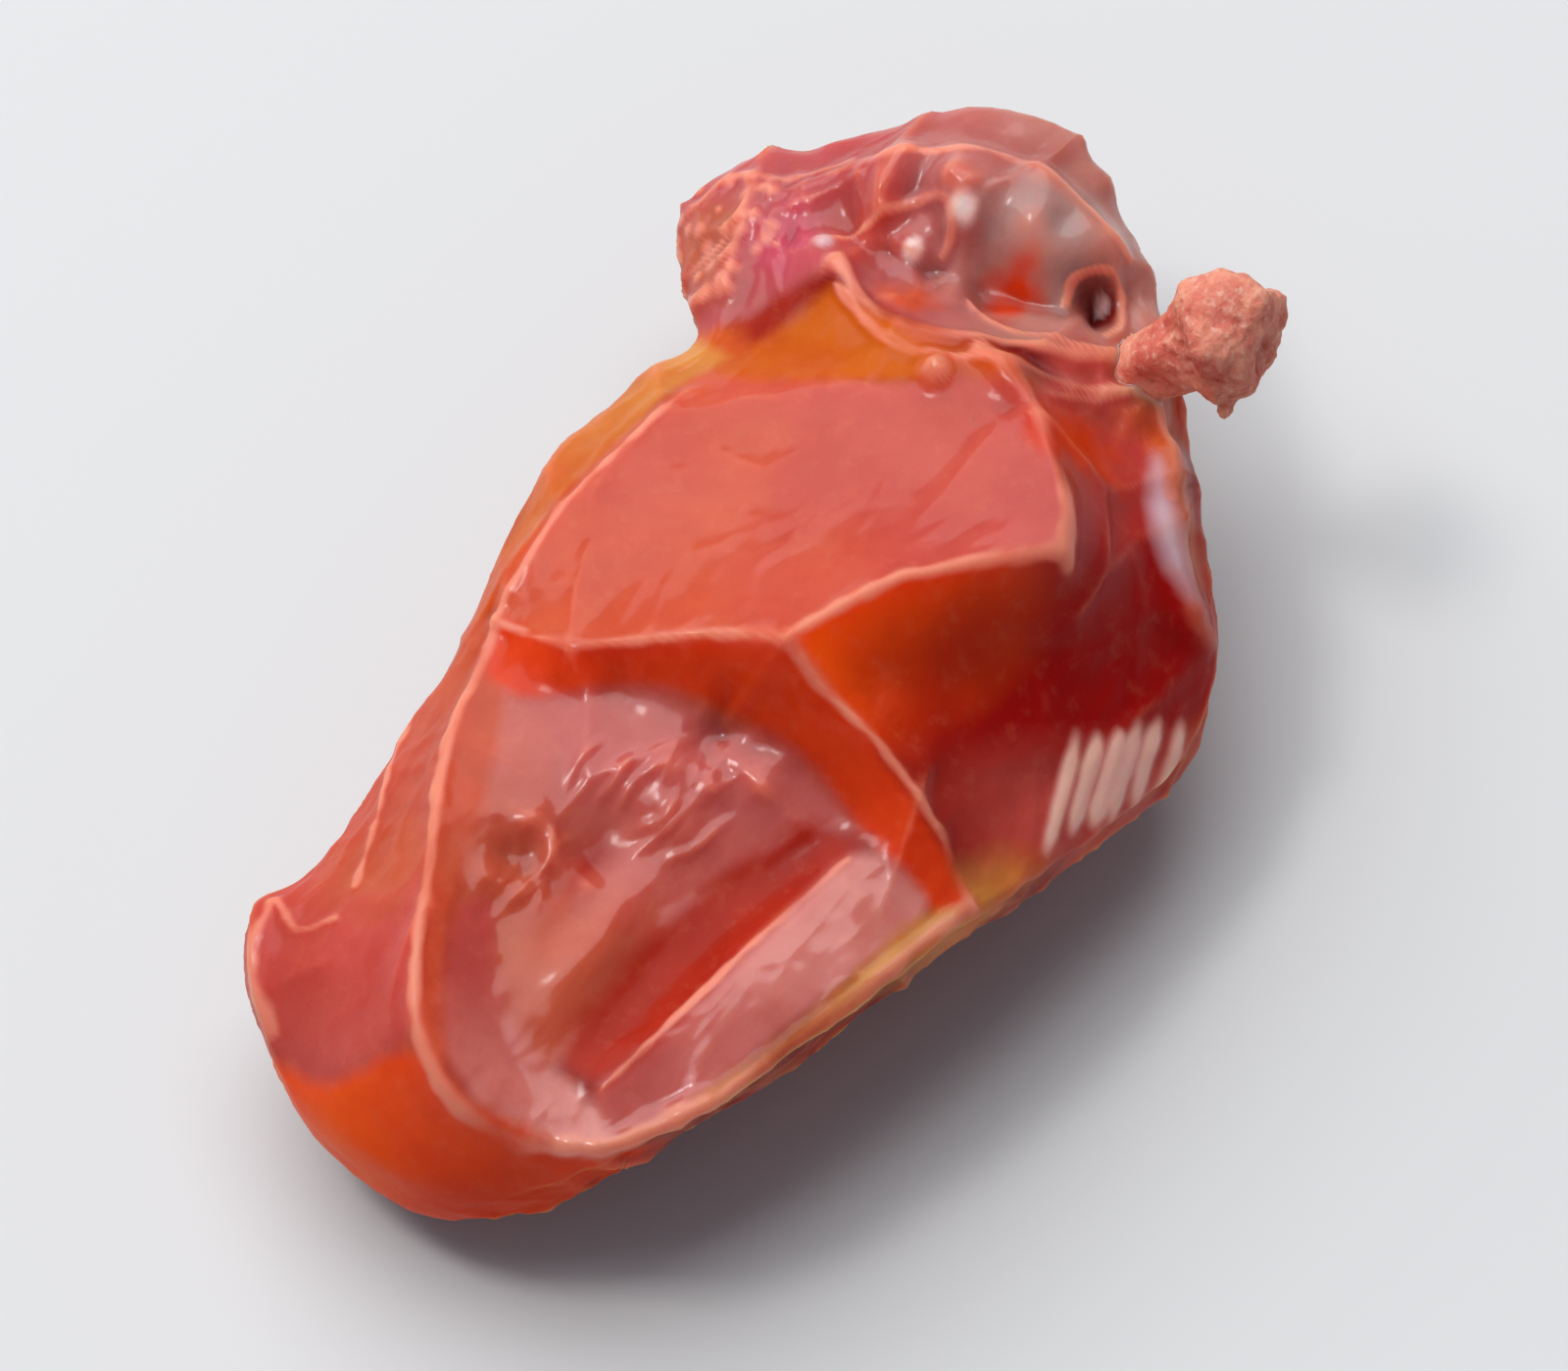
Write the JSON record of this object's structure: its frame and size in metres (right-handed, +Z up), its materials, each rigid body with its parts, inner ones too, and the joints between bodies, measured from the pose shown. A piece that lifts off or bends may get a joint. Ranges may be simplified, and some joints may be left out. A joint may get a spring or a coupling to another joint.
{
  "type": "dried sea buckthorn berry",
  "caption": "Dried sea buckthorn berry: an oblong shrunken fruit with sunk, creased panels, a knobbly stalk end and a short stub of stalk.",
  "frame": {"origin": "Centre of the bounding box in plan, at the height of the flat spot that the berry lies on.", "axes": "+Y runs along the berry from the blossom tip to the stalk end, which is the longest extent; +Z is up and the shortest extent; +X is the side that the stub of stalk leans to."},
  "size_m": [0.0058, 0.0098, 0.0035],
  "materials": {
    "skin": "gloss",
    "bark": "matte"
  },
  "bodies": {
    "root": {"berry": "skin", "stalk": "bark"}
  },
  "joints": []
}
